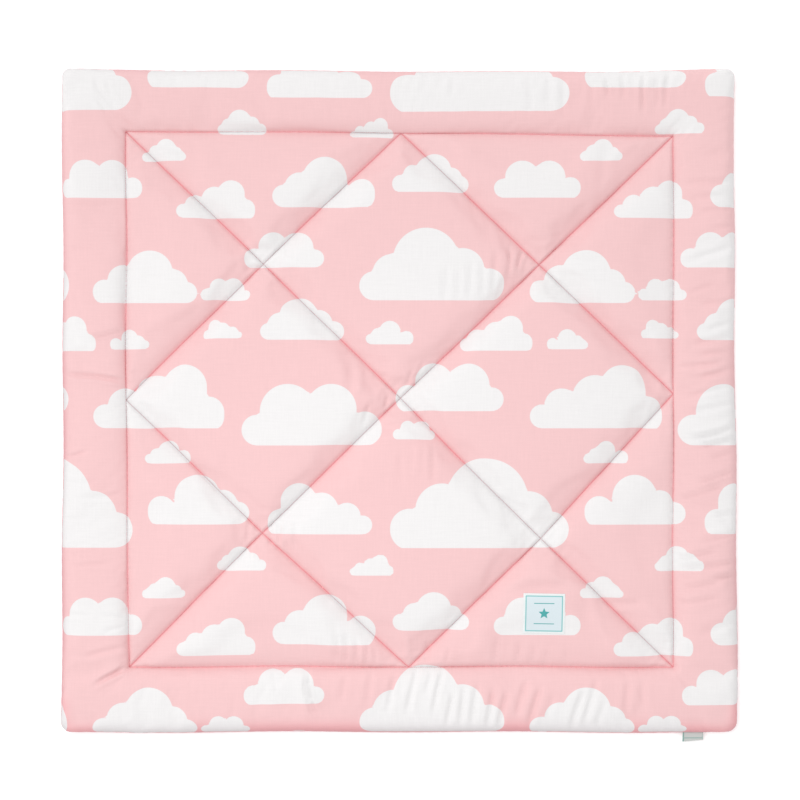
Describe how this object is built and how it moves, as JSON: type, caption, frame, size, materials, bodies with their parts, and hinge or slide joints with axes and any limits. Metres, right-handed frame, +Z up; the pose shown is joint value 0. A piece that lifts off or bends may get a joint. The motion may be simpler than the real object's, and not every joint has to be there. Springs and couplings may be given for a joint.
{
  "type": "quilted changing mat",
  "caption": "Square padded cotton mat, quilted in a diamond lattice inside a square frame line, with a printed top, a small sewn label and a folded ribbon tag.",
  "frame": {"origin": "middle of the whole mat, with its tag, on the surface that it lies on", "axes": "+Z up out of the printed top, +Y towards the mat's far edge, away from the edge that holds the ribbon tag, +X to the right as seen from above"},
  "size_m": [0.9976, 0.9932, 0.0282],
  "materials": {
    "printed_cotton": "matt printed plain-weave cotton, quilted over wadding",
    "woven_label": "smooth satin weave, slight sheen",
    "tag_ribbon": "fine ribbed ribbon, slight sheen"
  },
  "bodies": {
    "root": {"quilted_mat": "printed_cotton", "sewn_label": "woven_label", "ribbon_tag": "tag_ribbon"}
  },
  "joints": []
}
